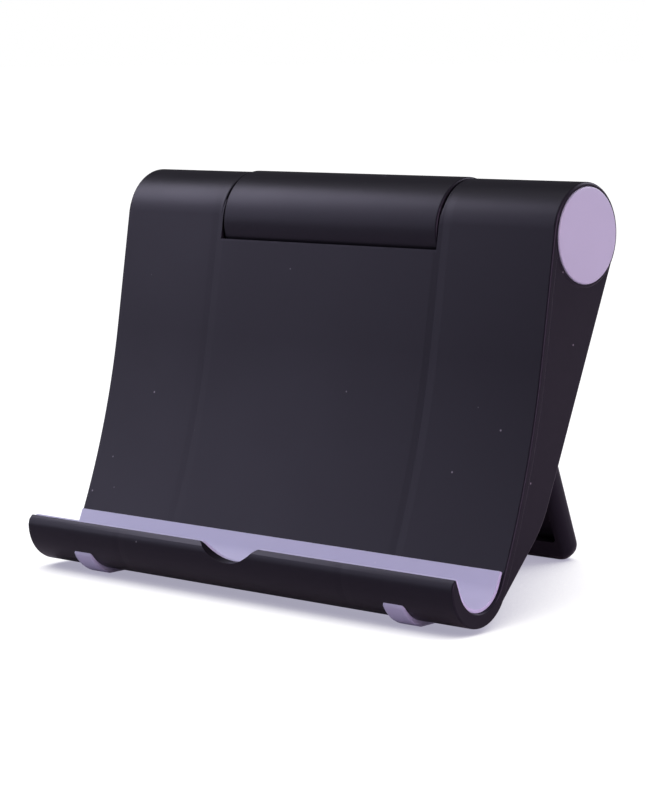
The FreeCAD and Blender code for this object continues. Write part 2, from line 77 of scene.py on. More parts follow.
# works out where the runs of the side profile meet
def deriveProfile(p):
    plate, hook = math.radians(p["plateLean"]), math.radians(p["hookLean"])
    touch = polar((0, 0), p["barrelRadius"], 180 - p["plateLean"])
    foot = polar(p["trough"], p["troughRadius"], -p["hookLean"])
    kneeZ = touch[0] - touch[1] * math.tan(plate) - foot[0] + foot[1] * math.tan(hook)
    kneeZ /= math.tan(hook) - math.tan(plate)
    run = (kneeZ - foot[1]) / math.cos(hook)
    kneeY = foot[0] + (kneeZ - foot[1]) * math.tan(hook)
    p["touch"] = touch
    p["bendTop"] = (kneeY + run * math.sin(plate), kneeZ + run * math.cos(plate))
    p["bendRadius"] = run / math.tan((hook - plate) / 2)
    p["bendCentre"] = polar(foot, p["bendRadius"], 180 - p["hookLean"])
    dy, dz = p["hook"][0] - p["trough"][0], p["hook"][1] - p["trough"][1]
    offset = dy * math.cos(hook) - dz * math.sin(hook)
    p["wall"] = offset + p["hookRadius"] - p["troughRadius"]
    p["lipFoot"] = polar(p["trough"], p["troughRadius"], 180 + p["lipLean"])
    rise = p["lipTop"] - p["lipFoot"][1]
    p["lipTopPoint"] = (p["lipFoot"][0] - rise * math.tan(math.radians(p["lipLean"])), p["lipTop"])
    p["lipEdge"] = (p["hook"][0] - p["hookRadius"] + p["lipEdgeIn"], p["lipTop"] - p["lipEdgeDrop"])


deriveProfile(profile)


def deselectAll():
    if bpy.context.object and bpy.context.object.mode != "OBJECT":
        bpy.ops.object.mode_set(mode="OBJECT")
    bpy.ops.object.select_all(action="DESELECT")


def makeActive(piece):
    deselectAll()
    piece.select_set(True)
    bpy.context.view_layer.objects.active = piece


# a profile point, in mm from the hinge line, as a place in the scene
def place(point, x=0.0):
    return Vector((x * mm, hinge.y + point[0] * mm, hinge.z + point[1] * mm))


# an edge along X, ready to be drawn out into a wall
def startEdge(name, halfLength, point):
    deselectAll()
    bpy.ops.mesh.primitive_plane_add(size=2 * halfLength * mm, location=place(point))
    piece = bpy.context.object
    piece.name = piece.data.name = name
    bpy.ops.object.transform_apply(location=True, rotation=True, scale=True)
    bpy.ops.object.mode_set(mode="EDIT")
    bpy.ops.mesh.select_mode(type="VERT")
    selectVerts(piece, lambda co: co.y > hinge.y + point[0] * mm)
    bpy.ops.mesh.delete(type="VERT")
    bpy.ops.mesh.select_mode(type="EDGE")
    bpy.ops.mesh.select_all(action="SELECT")
    bpy.ops.transform.translate(value=(0, halfLength * mm, 0))
    return piece


def selectVerts(piece, wanted):
    mesh = bmesh.from_edit_mesh(piece.data)
    for vert in mesh.verts:
        vert.select_set(wanted(vert.co))
    mesh.select_flush_mode()
    bmesh.update_edit_mesh(piece.data)


def selectEdges(piece, wanted):
    bpy.ops.mesh.select_mode(type="EDGE")
    bpy.ops.mesh.select_all(action="DESELECT")
    mesh = bmesh.from_edit_mesh(piece.data)
    for edge in mesh.edges:
        middle = ((edge.verts[0].co + edge.verts[1].co) / 2 - hinge) / mm
        edge.select_set(wanted(edge, middle))
    bmesh.update_edit_mesh(piece.data)


def runTo(point, last):
    move = ((point[0] - last[0]) * mm, (point[1] - last[1]) * mm)
    bpy.ops.mesh.extrude_region_move(TRANSFORM_OT_translate={"value": (0, *move)})
    return point


# positive degrees turn +Y towards +Z
def turnAbout(centre, degrees, last, step):
    steps = max(2, round(abs(degrees) / step))
    middle = place(centre)
    bpy.ops.mesh.spin(steps=steps, angle=-math.radians(degrees), center=middle, axis=(1, 0, 0))
    arm = Vector((last[0] - centre[0], last[1] - centre[1]))
    arm = Matrix.Rotation(math.radians(degrees), 2) @ arm
    return centre[0] + arm.x, centre[1] + arm.y


# each move is a point to run to, or (centre, degrees, step) to turn about
def drawOutline(name, halfLength, start, moves):
    piece = startEdge(name, halfLength, start)
    last = start
    for move in moves:
        last = turnAbout(move[0], move[1], last, move[2]) if len(move) == 3 else runTo(move, last)
    bpy.ops.mesh.select_mode(type="VERT")
    bpy.ops.mesh.select_all(action="SELECT")
    bpy.ops.mesh.remove_doubles(threshold=0.01 * mm)
    for side in (-1, 1):
        selectEdges(
            piece,
            lambda edge, middle: edge.is_boundary and middle.x * side > halfLength - 0.01,
        )
        bpy.ops.mesh.edge_face_add()
    bpy.ops.mesh.select_all(action="SELECT")
    bpy.ops.mesh.normals_make_consistent(inside=False)
    bpy.ops.object.mode_set(mode="OBJECT")
    return piece


def shiftAlong(piece, x):
    makeActive(piece)
    bpy.ops.transform.translate(value=(x * mm, 0, 0))
    bpy.ops.object.transform_apply(location=True, rotation=True, scale=True)


def copyPiece(piece, name):
    makeActive(piece)
    bpy.ops.object.duplicate()
    copy = bpy.context.object
    copy.name = copy.data.name = name
    return copy


def mirrorPiece(piece, name):
    copy = copyPiece(piece, name)
    bpy.ops.object.mode_set(mode="EDIT")
    bpy.ops.mesh.select_all(action="SELECT")
    bpy.ops.transform.resize(value=(-1, 1, 1), center_override=(0, 0, 0))
    bpy.ops.mesh.normals_make_consistent(inside=False)
    bpy.ops.object.mode_set(mode="OBJECT")
    return copy


def applyAll(piece):
    makeActive(piece)
    for modifier in list(piece.modifiers):
        bpy.ops.object.modifier_apply(modifier=modifier.name)


def cutAway(piece, cutter, operation="DIFFERENCE"):
    cut = piece.modifiers.new("cut", "BOOLEAN")
    cut.operation, cut.solver, cut.object = operation, "EXACT", cutter
    applyAll(piece)
    bpy.data.objects.remove(cutter)


# only edges that stand out, not inside corners
def sharpEdges(mesh, angle):
    for edge in mesh.edges:
        if len(edge.link_faces) == 2 and edge.calc_face_angle_signed() > math.radians(angle):
            yield edge


def roundOff(piece, width, segments=3, angle=35, skip=None):
    weights = piece.data.attributes.new("bevel_weight_edge", "FLOAT", "EDGE")
    mesh = bmesh.new()
    mesh.from_mesh(piece.data)
    for edge in sharpEdges(mesh, angle):
        ends = [(v.co - hinge) / mm for v in edge.verts]
        if not (skip and all(skip(end) for end in ends)):
            weights.data[edge.index].value = 1
    mesh.free()
    bevel = piece.modifiers.new("round", "BEVEL")
    bevel.width, bevel.segments = width * mm, segments
    bevel.limit_method = "WEIGHT"
    bevel.use_clamp_overlap = False
    applyAll(piece)
    piece.data.attributes.remove(piece.data.attributes["bevel_weight_edge"])


def smooth(piece, angle=32):
    makeActive(piece)
    bpy.ops.object.shade_smooth_by_angle(angle=math.radians(angle))
    weighted = piece.modifiers.new("weighted", "WEIGHTED_NORMAL")
    weighted.keep_sharp = True
    applyAll(piece)


def roundBar(name, radius, near, far, point=(0, 0), vertices=128):
    deselectAll()
    bpy.ops.mesh.primitive_cylinder_add(
        vertices=vertices,
        radius=radius * mm,
        depth=(far - near) * mm,
        location=place(point, (near + far) / 2),
        rotation=(0, math.radians(90), 0),
    )
    piece = bpy.context.object
    piece.name = piece.data.name = name
    bpy.ops.object.transform_apply(location=True, rotation=True, scale=True)
    return piece


def joinInto(piece, others):
    makeActive(piece)
    for other in others:
        other.select_set(True)
    bpy.ops.object.join()
    return piece


def finishPiece(piece, body, material, replaced=()):
    piece.data.materials.clear()
    piece.data.materials.append(material)
    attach(piece, body)
    if replaced:
        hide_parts(*replaced)


cradle = {
    "edgeRound": 0.35,
    "barrelRound": 0.5,
    "capSeat": (8.52, 1.1),  # radius, depth
    "lapTurn": (20, 8),  # how the plate's top ends inside the barrels
    "lapDepth": (0.1, 0.03, 3),
    "cutPast": 5,  # how far the seat's cutter runs out of the barrel
    "webSpan": (49.2, 51.2),
    "ribSpan": (26.2, 27.8),
    "webLean": 24.4,
    "heelRadius": 20,
    "webRound": 0.5,
    "webInset": 0.8,  # how far behind the plate's front the webs start
}


# plate, trough and lip; its top ends inside the barrels
def makeShell():
    p = profile
    rearAngle = math.degrees(math.acos((p["barrelRadius"] - p["wall"]) / p["barrelRadius"]))
    touchAngle = 180 - p["plateLean"]
    bend = p["hookLean"] - p["plateLean"]
    turns, depths = cradle["lapTurn"], cradle["lapDepth"]
    start = polar((0, 0), p["barrelRadius"] - depths[0], touchAngle - turns[0])
    moves = [
        polar((0, 0), p["barrelRadius"] - depths[1], touchAngle - turns[1]),
        p["touch"],
        p["bendTop"],
        (p["bendCentre"], -bend, 1),
        (p["trough"], -(180 - p["hookLean"] - p["lipLean"]), 5),
        p["lipTopPoint"],
        p["lipEdge"],
        (p["hook"][0] - p["hookRadius"], p["hook"][1]),
        (p["hook"], 180 - p["hookLean"], 5),
        (p["bendCentre"], bend, 1),
        polar((0, 0), p["barrelRadius"], touchAngle + rearAngle),
        polar((0, 0), p["barrelRadius"] - depths[2], touchAngle + rearAngle / 2),
        start,
    ]
    shell = drawOutline("cradle_moulding", halfWidth, start, moves)
    cutAway(shell, roundBar("knuckleCutter", p["knuckleCut"], -p["knuckleGap"], p["knuckleGap"]))
    roundOff(
        shell,
        cradle["edgeRound"],
        skip=lambda end: abs(abs(end.x) - p["knuckleGap"]) < 0.01,
    )
    cutAway(shell, notchCutter())  # after the rounding, or the bevel slides across the notch
    return shell


def makeBarrel():
    barrel = roundBar("barrel_right", profile["barrelRadius"], profile["knuckleGap"], halfWidth)
    roundOff(barrel, cradle["barrelRound"], 5)
    seatRadius, seatDepth = cradle["capSeat"]
    far = halfWidth + cradle["cutPast"]
    cutAway(barrel, roundBar("seatCutter", seatRadius, halfWidth - seatDepth, far))
    return barrel


notch = {
    "depth": 3.3,
    "bottomRadius": 8.5,
    "shoulderRadius": 3,
    "ahead": 2,  # the cutter starts this far in front of the lip
    "above": 4,
    "reach": 9.9,  # along Y, so that only the lip's side of the trough is cut
}


# a hollow between two rounded shoulders, as a prism along Y
def notchCutter():
    turn = math.acos(1 - notch["depth"] / (notch["bottomRadius"] + notch["shoulderRadius"]))
    half = (notch["bottomRadius"] + notch["shoulderRadius"]) * math.sin(turn)
    turn = math.degrees(turn)
    top = profile["lipTop"]
    front = profile["hook"][0] - profile["hookRadius"] - notch["ahead"]
    shoulders = [(side * half, top - notch["shoulderRadius"]) for side in (-1, 1)]
    bottom = (0, top - notch["depth"] + notch["bottomRadius"])
    deselectAll()
    bpy.ops.mesh.primitive_plane_add(size=2 * mm, location=(0, 0, 0))
    cutter = bpy.context.object
    bpy.ops.object.mode_set(mode="EDIT")
    bpy.ops.mesh.select_mode(type="VERT")
    selectVerts(cutter, lambda co: co.x > 0)
    bpy.ops.mesh.delete(type="VERT")
    bpy.ops.mesh.select_mode(type="EDGE")
    bpy.ops.mesh.select_all(action="SELECT")
    start = place((front + notch["reach"] / 2, top + notch["above"]), -half)
    bpy.ops.transform.resize(value=(1, notch["reach"] / 2, 1))
    bpy.ops.transform.translate(value=start + Vector((mm, 0, 0)))
    rise = notch["above"] * mm
    bpy.ops.mesh.extrude_region_move(TRANSFORM_OT_translate={"value": (0, 0, -rise)})
    arcs = [(shoulders[0], turn), (bottom, -2 * turn), (shoulders[1], turn)]
    for centre, degrees in arcs:
        middle = place((0, centre[1]), centre[0])
        steps = max(4, round(abs(degrees) / 6))
        angle = -math.radians(degrees)
        bpy.ops.mesh.spin(steps=steps, angle=angle, center=middle, axis=(0, 1, 0))
    bpy.ops.mesh.extrude_region_move(TRANSFORM_OT_translate={"value": (0, 0, rise)})
    bpy.ops.mesh.select_all(action="SELECT")
    bpy.ops.mesh.remove_doubles(threshold=0.005 * mm)
    bpy.ops.mesh.select_all(action="DESELECT")
    closeEnds(cutter)
    bpy.ops.mesh.select_all(action="SELECT")
    bpy.ops.mesh.normals_make_consistent(inside=False)
    bpy.ops.object.mode_set(mode="OBJECT")
    return cutter


# faces over the open top, then over the two ends
def closeEnds(cutter):
    mesh = bmesh.from_edit_mesh(cutter.data)
    top = max(v.co.z for v in mesh.verts)
    for edge in mesh.edges:
        edge.select_set(all(abs(v.co.z - top) < 1e-7 for v in edge.verts))
    bmesh.update_edit_mesh(cutter.data)
    bpy.ops.mesh.edge_face_add()
    for end in (min, max):
        mesh = bmesh.from_edit_mesh(cutter.data)
        y = end(v.co.y for v in mesh.verts)
        for edge in mesh.edges:
            edge.select_set(edge.is_boundary and all(abs(v.co.y - y) < 1e-7 for v in edge.verts))
        bmesh.update_edit_mesh(cutter.data)
        bpy.ops.mesh.edge_face_add()


# the webs and the ribs have one outline: along the plate, under the hook and up the heel
def makeWeb(name, span):
    p = profile
    lean, radius = cradle["webLean"], cradle["heelRadius"]
    inset = cradle["webInset"]
    start = polar((0, 0), p["barrelRadius"] - inset, 180 - p["plateLean"])
    bendTop = polar(p["bendCentre"], p["bendRadius"] + inset, -p["plateLean"])
    foot = polar(p["hook"], p["hookRadius"], -45)
    top = polar((0, 0), p["barrelRadius"], -lean)
    slope = 1 / math.tan(math.radians(lean))
    heelY = (top[1] - top[0] * slope - foot[1] + foot[0]) / (1 - slope)
    heel = (heelY, foot[1] + heelY - foot[0])
    run = radius * math.tan(math.radians((45 - lean) / 2))
    heelStart = polar(heel, run, 225)
    heelCentre = polar(heelStart, radius, 135)
    moves = [
        bendTop,
        (p["bendCentre"], p["plateLean"] - p["hookLean"], 1),
        foot,
        heelStart,
        (heelCentre, 45 - lean, 2.5),
        top,
        (0, 0),
        start,
    ]
    web = drawOutline(name, (span[1] - span[0]) / 2, start, moves)
    roundOff(web, cradle["webRound"])
    shiftAlong(web, (span[0] + span[1]) / 2)
    return web


def makeCradle(material):
    shell = makeShell()
    barrel = makeBarrel()
    walls = [barrel, mirrorPiece(barrel, "barrel_left")]
    for kind in ("web", "rib"):
        span = cradle[kind + "Span"]
        right = makeWeb(kind + "_right", span)
        left = copyPiece(right, kind + "_left")
        shiftAlong(left, -(span[0] + span[1]))
        walls += [right, left]
    joinInto(shell, walls)
    smooth(shell)
    finishPiece(shell, "cradle", material, ["cradle"])
    print("cradle made:", len(shell.data.polygons), "faces")


leg = {
    "lean": 21.6,
    "knuckleRadius": 9.5,
    "thick": 4.6,
    "half": 25.7,
    "tipRound": 1.9,
    "tipCorner": 3,
    "knuckleRound": 0.4,
    "pocketDepth": 2.4,
    "pockets": [(-23.4, -9.1), (-7.5, 7.5), (9.1, 23.4)],
    "pocketTop": -13.5,
    "pocketRim": 4.5,
    "pocketRound": 0.9,
    "cutterThick": 10,
}


# drawn upright below the hinge, rear face at +Y, then turned to its lean
def makeLeg(material):
    front = leg["knuckleRadius"] - leg["thick"]
    lean = math.radians(leg["lean"])
    low = hinge.z / mm + (front + leg["tipRound"]) * math.sin(lean) - leg["tipRound"]
    reach = leg["tipRound"] + low / math.cos(lean)
    rear = leg["knuckleRadius"]
    outline = [(rear, -reach), (front, -reach), (front, 0), (rear, 0)]
    piece = drawOutline("leg_panel", leg["half"], (rear, 0), outline)
    bpy.ops.object.mode_set(mode="EDIT")
    selectEdges(
        piece,
        lambda edge, middle: abs(abs(middle.x) - leg["half"]) < 0.01
        and abs(middle.z + reach) < 0.01
        and abs(edge.verts[0].co.x - edge.verts[1].co.x) < 1e-7,
    )
    bpy.ops.mesh.bevel(offset=leg["tipCorner"] * mm, segments=8, affect="EDGES")
    bpy.ops.object.mode_set(mode="OBJECT")
    roundOff(piece, leg["tipRound"], 5, skip=lambda end: abs(end.z) < 0.01)
    for near, far in leg["pockets"]:
        cutAway(piece, pocketCutter(near, far, front, -reach + leg["pocketRim"]))
    knuckle = roundBar("leg_knuckle", leg["knuckleRadius"], -leg["half"], leg["half"])
    roundOff(knuckle, leg["knuckleRound"])
    joinInto(piece, [knuckle])
    bpy.ops.object.mode_set(mode="EDIT")
    bpy.ops.mesh.select_all(action="SELECT")
    bpy.ops.transform.rotate(value=-lean, orient_axis="X", center_override=hinge)
    bpy.ops.object.mode_set(mode="OBJECT")
    smooth(piece)
    finishPiece(piece, "leg", material, ["leg"])
    print("leg made:", len(piece.data.polygons), "faces")


def pocketCutter(near, far, front, low):
    deselectAll()
    top = leg["pocketTop"]
    thick = leg["cutterThick"]
    point = (front + leg["pocketDepth"] - thick / 2, (low + top) / 2)
    middle = place(point, (near + far) / 2)
    bpy.ops.mesh.primitive_cube_add(size=1, location=middle)
    cutter = bpy.context.object
    cutter.scale = ((far - near) * mm, thick * mm, (top - low) * mm)
    bpy.ops.object.transform_apply(location=True, rotation=True, scale=True)
    roundOff(cutter, leg["pocketRound"], 4)
    return cutter


liner = {
    "gap": 0.02,
    "thick": 0.7,
    "rise": 2.6,  # up the plate from the trough
    "half": 50.7,
    "lipShort": 0.35,
    "round": 0.15,
}


def makeLiner(material):
    p = profile
    under = p["troughRadius"] - liner["gap"]
    over = under - liner["thick"]
    back = p["bendRadius"] - liner["gap"]
    front = back - liner["thick"]
    top = p["hookLean"] - math.degrees(liner["rise"] / p["bendRadius"])
    lipRise = p["lipTop"] - liner["lipShort"] - p["lipFoot"][1]
    lipRun = lipRise / math.cos(math.radians(p["lipLean"]))
    sweep = 180 - p["hookLean"] - p["lipLean"]

    def upLip(radius, run):
        foot = polar(p["trough"], radius, 180 + p["lipLean"])
        return polar(foot, run, 90 + p["lipLean"])

    start = polar(p["bendCentre"], back, -top)
    moves = [
        (p["bendCentre"], top - p["hookLean"], 1),
        (p["trough"], -sweep, 5),
        upLip(under, lipRun),
        upLip(over, lipRun),
        upLip(over, 0),
        (p["trough"], sweep, 5),
        (p["bendCentre"], p["hookLean"] - top, 1),
        start,
    ]
    piece = drawOutline("trough_liner_skin", liner["half"], start, moves)
    roundOff(piece, liner["round"], 2)
    cutAway(piece, notchCutter())
    smooth(piece)
    finishPiece(piece, "cradle", material, ["trough_liner"])
    print("liner made")


foot = {
    "span": (35.2, 40),
    "seat": 6.82,
    "radius": 7.8,
    "flatDepth": 0.2,  # the flat that stands on the table
    "fromTo": (207, 288),
    "y": -29.56,
    "round": 0.45,
}


def makeFeet(material):
    first, last = foot["fromTo"]
    flatAngle = math.degrees(math.acos(1 - foot["flatDepth"] / foot["radius"]))
    centre = (foot["y"], foot["radius"] - foot["flatDepth"] - hinge.z / mm)
    start = polar(profile["hook"], foot["seat"], first)
    moves = [
        (profile["hook"], last - first, 6),
        polar(centre, foot["radius"], last),
        (centre, 270 + flatAngle - last, 4),
        polar(centre, foot["radius"], 270 - flatAngle),
        (centre, first - 270 + flatAngle, 6),
        start,
    ]
    near, far = foot["span"]
    right = drawOutline("front_foot_right_pad", (far - near) / 2, start, moves)
    roundOff(right, foot["round"])
    shiftAlong(right, (near + far) / 2)
    smooth(right)
    left = copyPiece(right, "front_foot_left_pad")
    shiftAlong(left, -(near + far))
    for side, piece in (("left", left), ("right", right)):
        finishPiece(piece, "cradle", material, ["front_foot_" + side])
    print("feet made")


cap = {
    "radius": 8.45,
    "proud": 0.34,  # with the dome, 0.4
    "depth": 1.1,
    "rim": 0.3,
    "dome": 0.06,
    "rings": 5,
}


def makeCaps(material):
    face = halfWidth + cap["proud"]
    right = roundBar("end_cap_right_disc", cap["radius"], halfWidth - cap["depth"], face)
    roundOff(right, cap["rim"], 4)
    bpy.ops.object.mode_set(mode="EDIT")
    bpy.ops.mesh.select_mode(type="FACE")
    bpy.ops.mesh.select_all(action="DESELECT")
    mesh = bmesh.from_edit_mesh(right.data)
    outer = max(mesh.faces, key=lambda f: f.calc_center_median().x * (f.normal.x > 0.99))
    outer.select_set(True)
    bmesh.update_edit_mesh(right.data)
    for ring in range(cap["rings"]):  # a very shallow dome
        lift = cap["dome"] * mm * (cap["rings"] - ring) / 15
        bpy.ops.mesh.inset(thickness=cap["radius"] * mm / (cap["rings"] + 1), depth=lift)
    bpy.ops.object.mode_set(mode="OBJECT")
    makeActive(right)
    bpy.ops.object.shade_smooth_by_angle(angle=math.radians(32))
    left = mirrorPiece(right, "end_cap_left_disc")
    for side, piece in (("left", left), ("right", right)):
        finishPiece(piece, "cradle", material, ["end_cap_" + side])
    print("caps made")


def newGroup(name, inputs, outputs):
    group = bpy.data.node_groups.new(name, "ShaderNodeTree")
    for socket, kind, value in inputs:
        made = group.interface.new_socket(name=socket, in_out="INPUT", socket_type=kind)
        if value is not None:
            made.default_value = value
    for socket, kind in outputs:
        group.interface.new_socket(name=socket, in_out="OUTPUT", socket_type=kind)
    return group, group.nodes.new("NodeGroupInput"), group.nodes.new("NodeGroupOutput")


def addNode(tree, kind, **settings):
    node = tree.nodes.new(kind)
    for name, value in settings.items():
        setattr(node, name, value)
    return node


def mathNode(tree, operation, first, second=None, clamp=False):
    node = addNode(tree, "ShaderNodeMath", operation=operation, use_clamp=clamp)
    for socket, value in zip(node.inputs, (first, second)):
        if isinstance(value, bpy.types.NodeSocket):
            tree.links.new(value, socket)
        elif value is not None:
            socket.default_value = value
    return node.outputs[0]


def rangeNode(tree, value, low, high, outLow=0.0, outHigh=1.0):
    node = addNode(tree, "ShaderNodeMapRange", clamp=True)
    tree.links.new(value, node.inputs["Value"])
    settings = (("From Min", low), ("From Max", high), ("To Min", outLow), ("To Max", outHigh))
    for name, setting in settings:
        if isinstance(setting, bpy.types.NodeSocket):
            tree.links.new(setting, node.inputs[name])
        else:
            node.inputs[name].default_value = setting
    return node.outputs["Result"]


def makeGrainGroup():
    sockets = [("Size", "NodeSocketFloat", 2500.0), ("Tone Size", "NodeSocketFloat", 30.0)]
    outputs = [("Height", "NodeSocketFloat"), ("Tone", "NodeSocketFloat")]
    group, given, made = newGroup("mouldGrain", sockets, outputs)
    coords = addNode(group, "ShaderNodeTexCoord")
    for socket, size, detail in (("Height", "Size", 3.0), ("Tone", "Tone Size", 4.0)):
        noise = addNode(group, "ShaderNodeTexNoise")
        noise.inputs["Detail"].default_value = detail
        group.links.new(coords.outputs["Object"], noise.inputs["Vector"])
        group.links.new(given.outputs[size], noise.inputs["Scale"])
        group.links.new(noise.outputs["Fac"], made.inputs[socket])
    return group


def makeDustGroup():
    sockets = [
        ("Speck Size", "NodeSocketFloat", 700.0),
        ("Speck Share", "NodeSocketFloat", 0.03),
        ("Scratch Share", "NodeSocketFloat", 0.03),
    ]
    outputs = [("Specks", "NodeSocketFloat"), ("Scratches", "NodeSocketFloat")]
    group, given, made = newGroup("dustAndScratches", sockets, outputs)
    coords = addNode(group, "ShaderNodeTexCoord")
    cells = addNode(group, "ShaderNodeTexVoronoi", feature="F1")
    group.links.new(coords.outputs["Object"], cells.inputs["Vector"])
    group.links.new(given.outputs["Speck Size"], cells.inputs["Scale"])
    core = rangeNode(group, cells.outputs["Distance"], 0.05, 0.22, 1.0, 0.0)
    split = addNode(group, "ShaderNodeSeparateColor")
    group.links.new(cells.outputs["Color"], split.inputs["Color"])
    few = mathNode(group, "LESS_THAN", split.outputs["Red"], given.outputs["Speck Share"])
    group.links.new(mathNode(group, "MULTIPLY", core, few), made.inputs["Specks"])
    turned = addNode(group, "ShaderNodeMapping")
    turned.inputs["Rotation"].default_value = (0.3, 0.5, 0.9)
    turned.inputs["Scale"].default_value = (900, 900, 45)
    group.links.new(coords.outputs["Object"], turned.inputs["Vector"])
    lines = addNode(group, "ShaderNodeTexVoronoi", feature="F1")
    lines.inputs["Scale"].default_value = 1.0
    group.links.new(turned.outputs["Vector"], lines.inputs["Vector"])
    lineSplit = addNode(group, "ShaderNodeSeparateColor")
    group.links.new(lines.outputs["Color"], lineSplit.inputs["Color"])
    some = mathNode(group, "LESS_THAN", lineSplit.outputs["Green"], given.outputs["Scratch Share"])
    thin = rangeNode(group, lines.outputs["Distance"], 0.06, 0.2, 1.0, 0.0)
    group.links.new(mathNode(group, "MULTIPLY", thin, some), made.inputs["Scratches"])
    return group


def makeWearGroup():
    sockets = [("Radius", "NodeSocketFloat", 0.0004), ("Amount", "NodeSocketFloat", 1.0)]
    group, given, made = newGroup("edgeWear", sockets, [("Wear", "NodeSocketFloat")])
    soft = addNode(group, "ShaderNodeBevel", samples=6)
    group.links.new(given.outputs["Radius"], soft.inputs["Radius"])
    plain = addNode(group, "ShaderNodeNewGeometry")
    dot = addNode(group, "ShaderNodeVectorMath", operation="DOT_PRODUCT")
    group.links.new(soft.outputs["Normal"], dot.inputs[0])
    group.links.new(plain.outputs["Normal"], dot.inputs[1])
    edge = rangeNode(group, dot.outputs["Value"], 0.985, 0.9, 0.0, 1.0)
    coords = addNode(group, "ShaderNodeTexCoord")
    noise = addNode(group, "ShaderNodeTexNoise")
    noise.inputs["Scale"].default_value = 400
    group.links.new(coords.outputs["Object"], noise.inputs["Vector"])
    broken = rangeNode(group, noise.outputs["Fac"], 0.35, 0.65)
    worn = mathNode(group, "MULTIPLY", edge, broken)
    group.links.new(mathNode(group, "MULTIPLY", worn, given.outputs["Amount"]), made.inputs["Wear"])
    return group


def placeGroup(tree, group, values):
    node = addNode(tree, "ShaderNodeGroup", node_tree=group)
    for name, value in values.items():
        node.inputs[name].default_value = value
    return node


def mixColour(tree, mask, base, top):
    node = addNode(tree, "ShaderNodeMix", data_type="RGBA")
    sockets = [s for s in node.inputs if s.enabled]
    tree.links.new(mask, sockets[0])
    for socket, value in zip(sockets[1:], (base, top)):
        if isinstance(value, bpy.types.NodeSocket):
            tree.links.new(value, socket)
        else:
            socket.default_value = (*value, 1)
    return next(s for s in node.outputs if s.enabled)


satinBlack = {
    "colour": (0.0072, 0.0067, 0.0092),
    "tone": (0.0088, 0.0082, 0.0112),
    "specular": 0.2,
    "tint": (0.80, 0.76, 1.0, 1),
    "dust": (0.22, 0.21, 0.24),
    "scratch": (0.09, 0.085, 0.1),
    "worn": (0.022, 0.0205, 0.028),
    "roughness": (0.34, 0.40),
    "grain": {"Size": 2600, "Tone Size": 35},
    "specks": {"Speck Size": 900, "Speck Share": 0.004, "Scratch Share": 0.005},
    "wear": {"Radius": 0.0004, "Amount": 0.6},
    "bump": (0.25, 0.02),  # strength, height in mm
    "sinkAt": 27,  # mm from the middle, where the ribs behind draw the wall in
    "sinkHalf": 1.6,
    "sinkDepth": -8.0,
}
softLilac = {
    "colour": (0.435, 0.445, 0.60),
    "tone": (0.475, 0.485, 0.645),
    "dust": (0.6, 0.58, 0.7),
    "roughness": (0.55, 0.7),
    "grain": {"Size": 3000, "Tone Size": 60},
    "bump": (0.3, 0.02),
}
capLilac = {
    "colour": (0.365, 0.385, 0.475),
    "tone": (0.395, 0.41, 0.505),
    "dust": (0.65, 0.6, 0.72),
    "roughness": (0.38, 0.5),
    "grain": {"Size": 3500, "Tone Size": 60},
    "bump": (0.15, 0.02),
}
lilacSpecks = {"Speck Size": 800, "Speck Share": 0.02, "Scratch Share": 0.01}


def newMaterial(name):
    material = bpy.data.materials.new(name)
    material.use_nodes = True
    tree = material.node_tree
    shader = next(n for n in tree.nodes if n.type == "BSDF_PRINCIPLED")
    return material, tree, shader


def grainBump(tree, shader, height, strength, distance):
    bump = addNode(tree, "ShaderNodeBump")
    bump.inputs["Strength"].default_value = strength
    bump.inputs["Distance"].default_value = distance * mm
    tree.links.new(height, bump.inputs["Height"])
    tree.links.new(bump.outputs["Normal"], shader.inputs["Normal"])


def makeSatinBlack(name, groups, look, withSinks=False):
    material, tree, shader = newMaterial(name)
    grain = placeGroup(tree, groups["grain"], look["grain"])
    dust = placeGroup(tree, groups["dust"], look["specks"])
    wear = placeGroup(tree, groups["wear"], look["wear"])
    shader.inputs["Specular IOR Level"].default_value = look["specular"]
    shader.inputs["Specular Tint"].default_value = look["tint"]
    colour = mixColour(tree, grain.outputs["Tone"], look["colour"], look["tone"])
    colour = mixColour(tree, wear.outputs["Wear"], colour, look["worn"])
    colour = mixColour(tree, dust.outputs["Scratches"], colour, look["scratch"])
    colour = mixColour(tree, dust.outputs["Specks"], colour, look["dust"])
    tree.links.new(colour, shader.inputs["Base Color"])
    rough = rangeNode(tree, grain.outputs["Tone"], 0.3, 0.7, *look["roughness"])
    tree.links.new(rough, shader.inputs["Roughness"])
    height = grain.outputs["Height"]
    if withSinks:
        height = addSinks(tree, height, look)
    grainBump(tree, shader, height, *look["bump"])
    return material


def addSinks(tree, height, look):
    coords = addNode(tree, "ShaderNodeTexCoord")
    split = addNode(tree, "ShaderNodeSeparateXYZ")
    tree.links.new(coords.outputs["Object"], split.inputs["Vector"])
    across = mathNode(tree, "ABSOLUTE", split.outputs["X"])
    away = mathNode(tree, "ABSOLUTE", mathNode(tree, "SUBTRACT", across, look["sinkAt"] * mm))
    sunk = rangeNode(tree, away, 0.0, look["sinkHalf"] * mm, look["sinkDepth"], 0.0)
    return mathNode(tree, "ADD", height, sunk)


def makeLilac(name, groups, look):
    material, tree, shader = newMaterial(name)
    grain = placeGroup(tree, groups["grain"], look["grain"])
    dust = placeGroup(tree, groups["dust"], lilacSpecks)
    colour = mixColour(tree, grain.outputs["Tone"], look["colour"], look["tone"])
    colour = mixColour(tree, dust.outputs["Specks"], colour, look["dust"])
    tree.links.new(colour, shader.inputs["Base Color"])
    rough = rangeNode(tree, grain.outputs["Tone"], 0.3, 0.7, *look["roughness"])
    tree.links.new(rough, shader.inputs["Roughness"])
    grainBump(tree, shader, grain.outputs["Height"], *look["bump"])
    return material


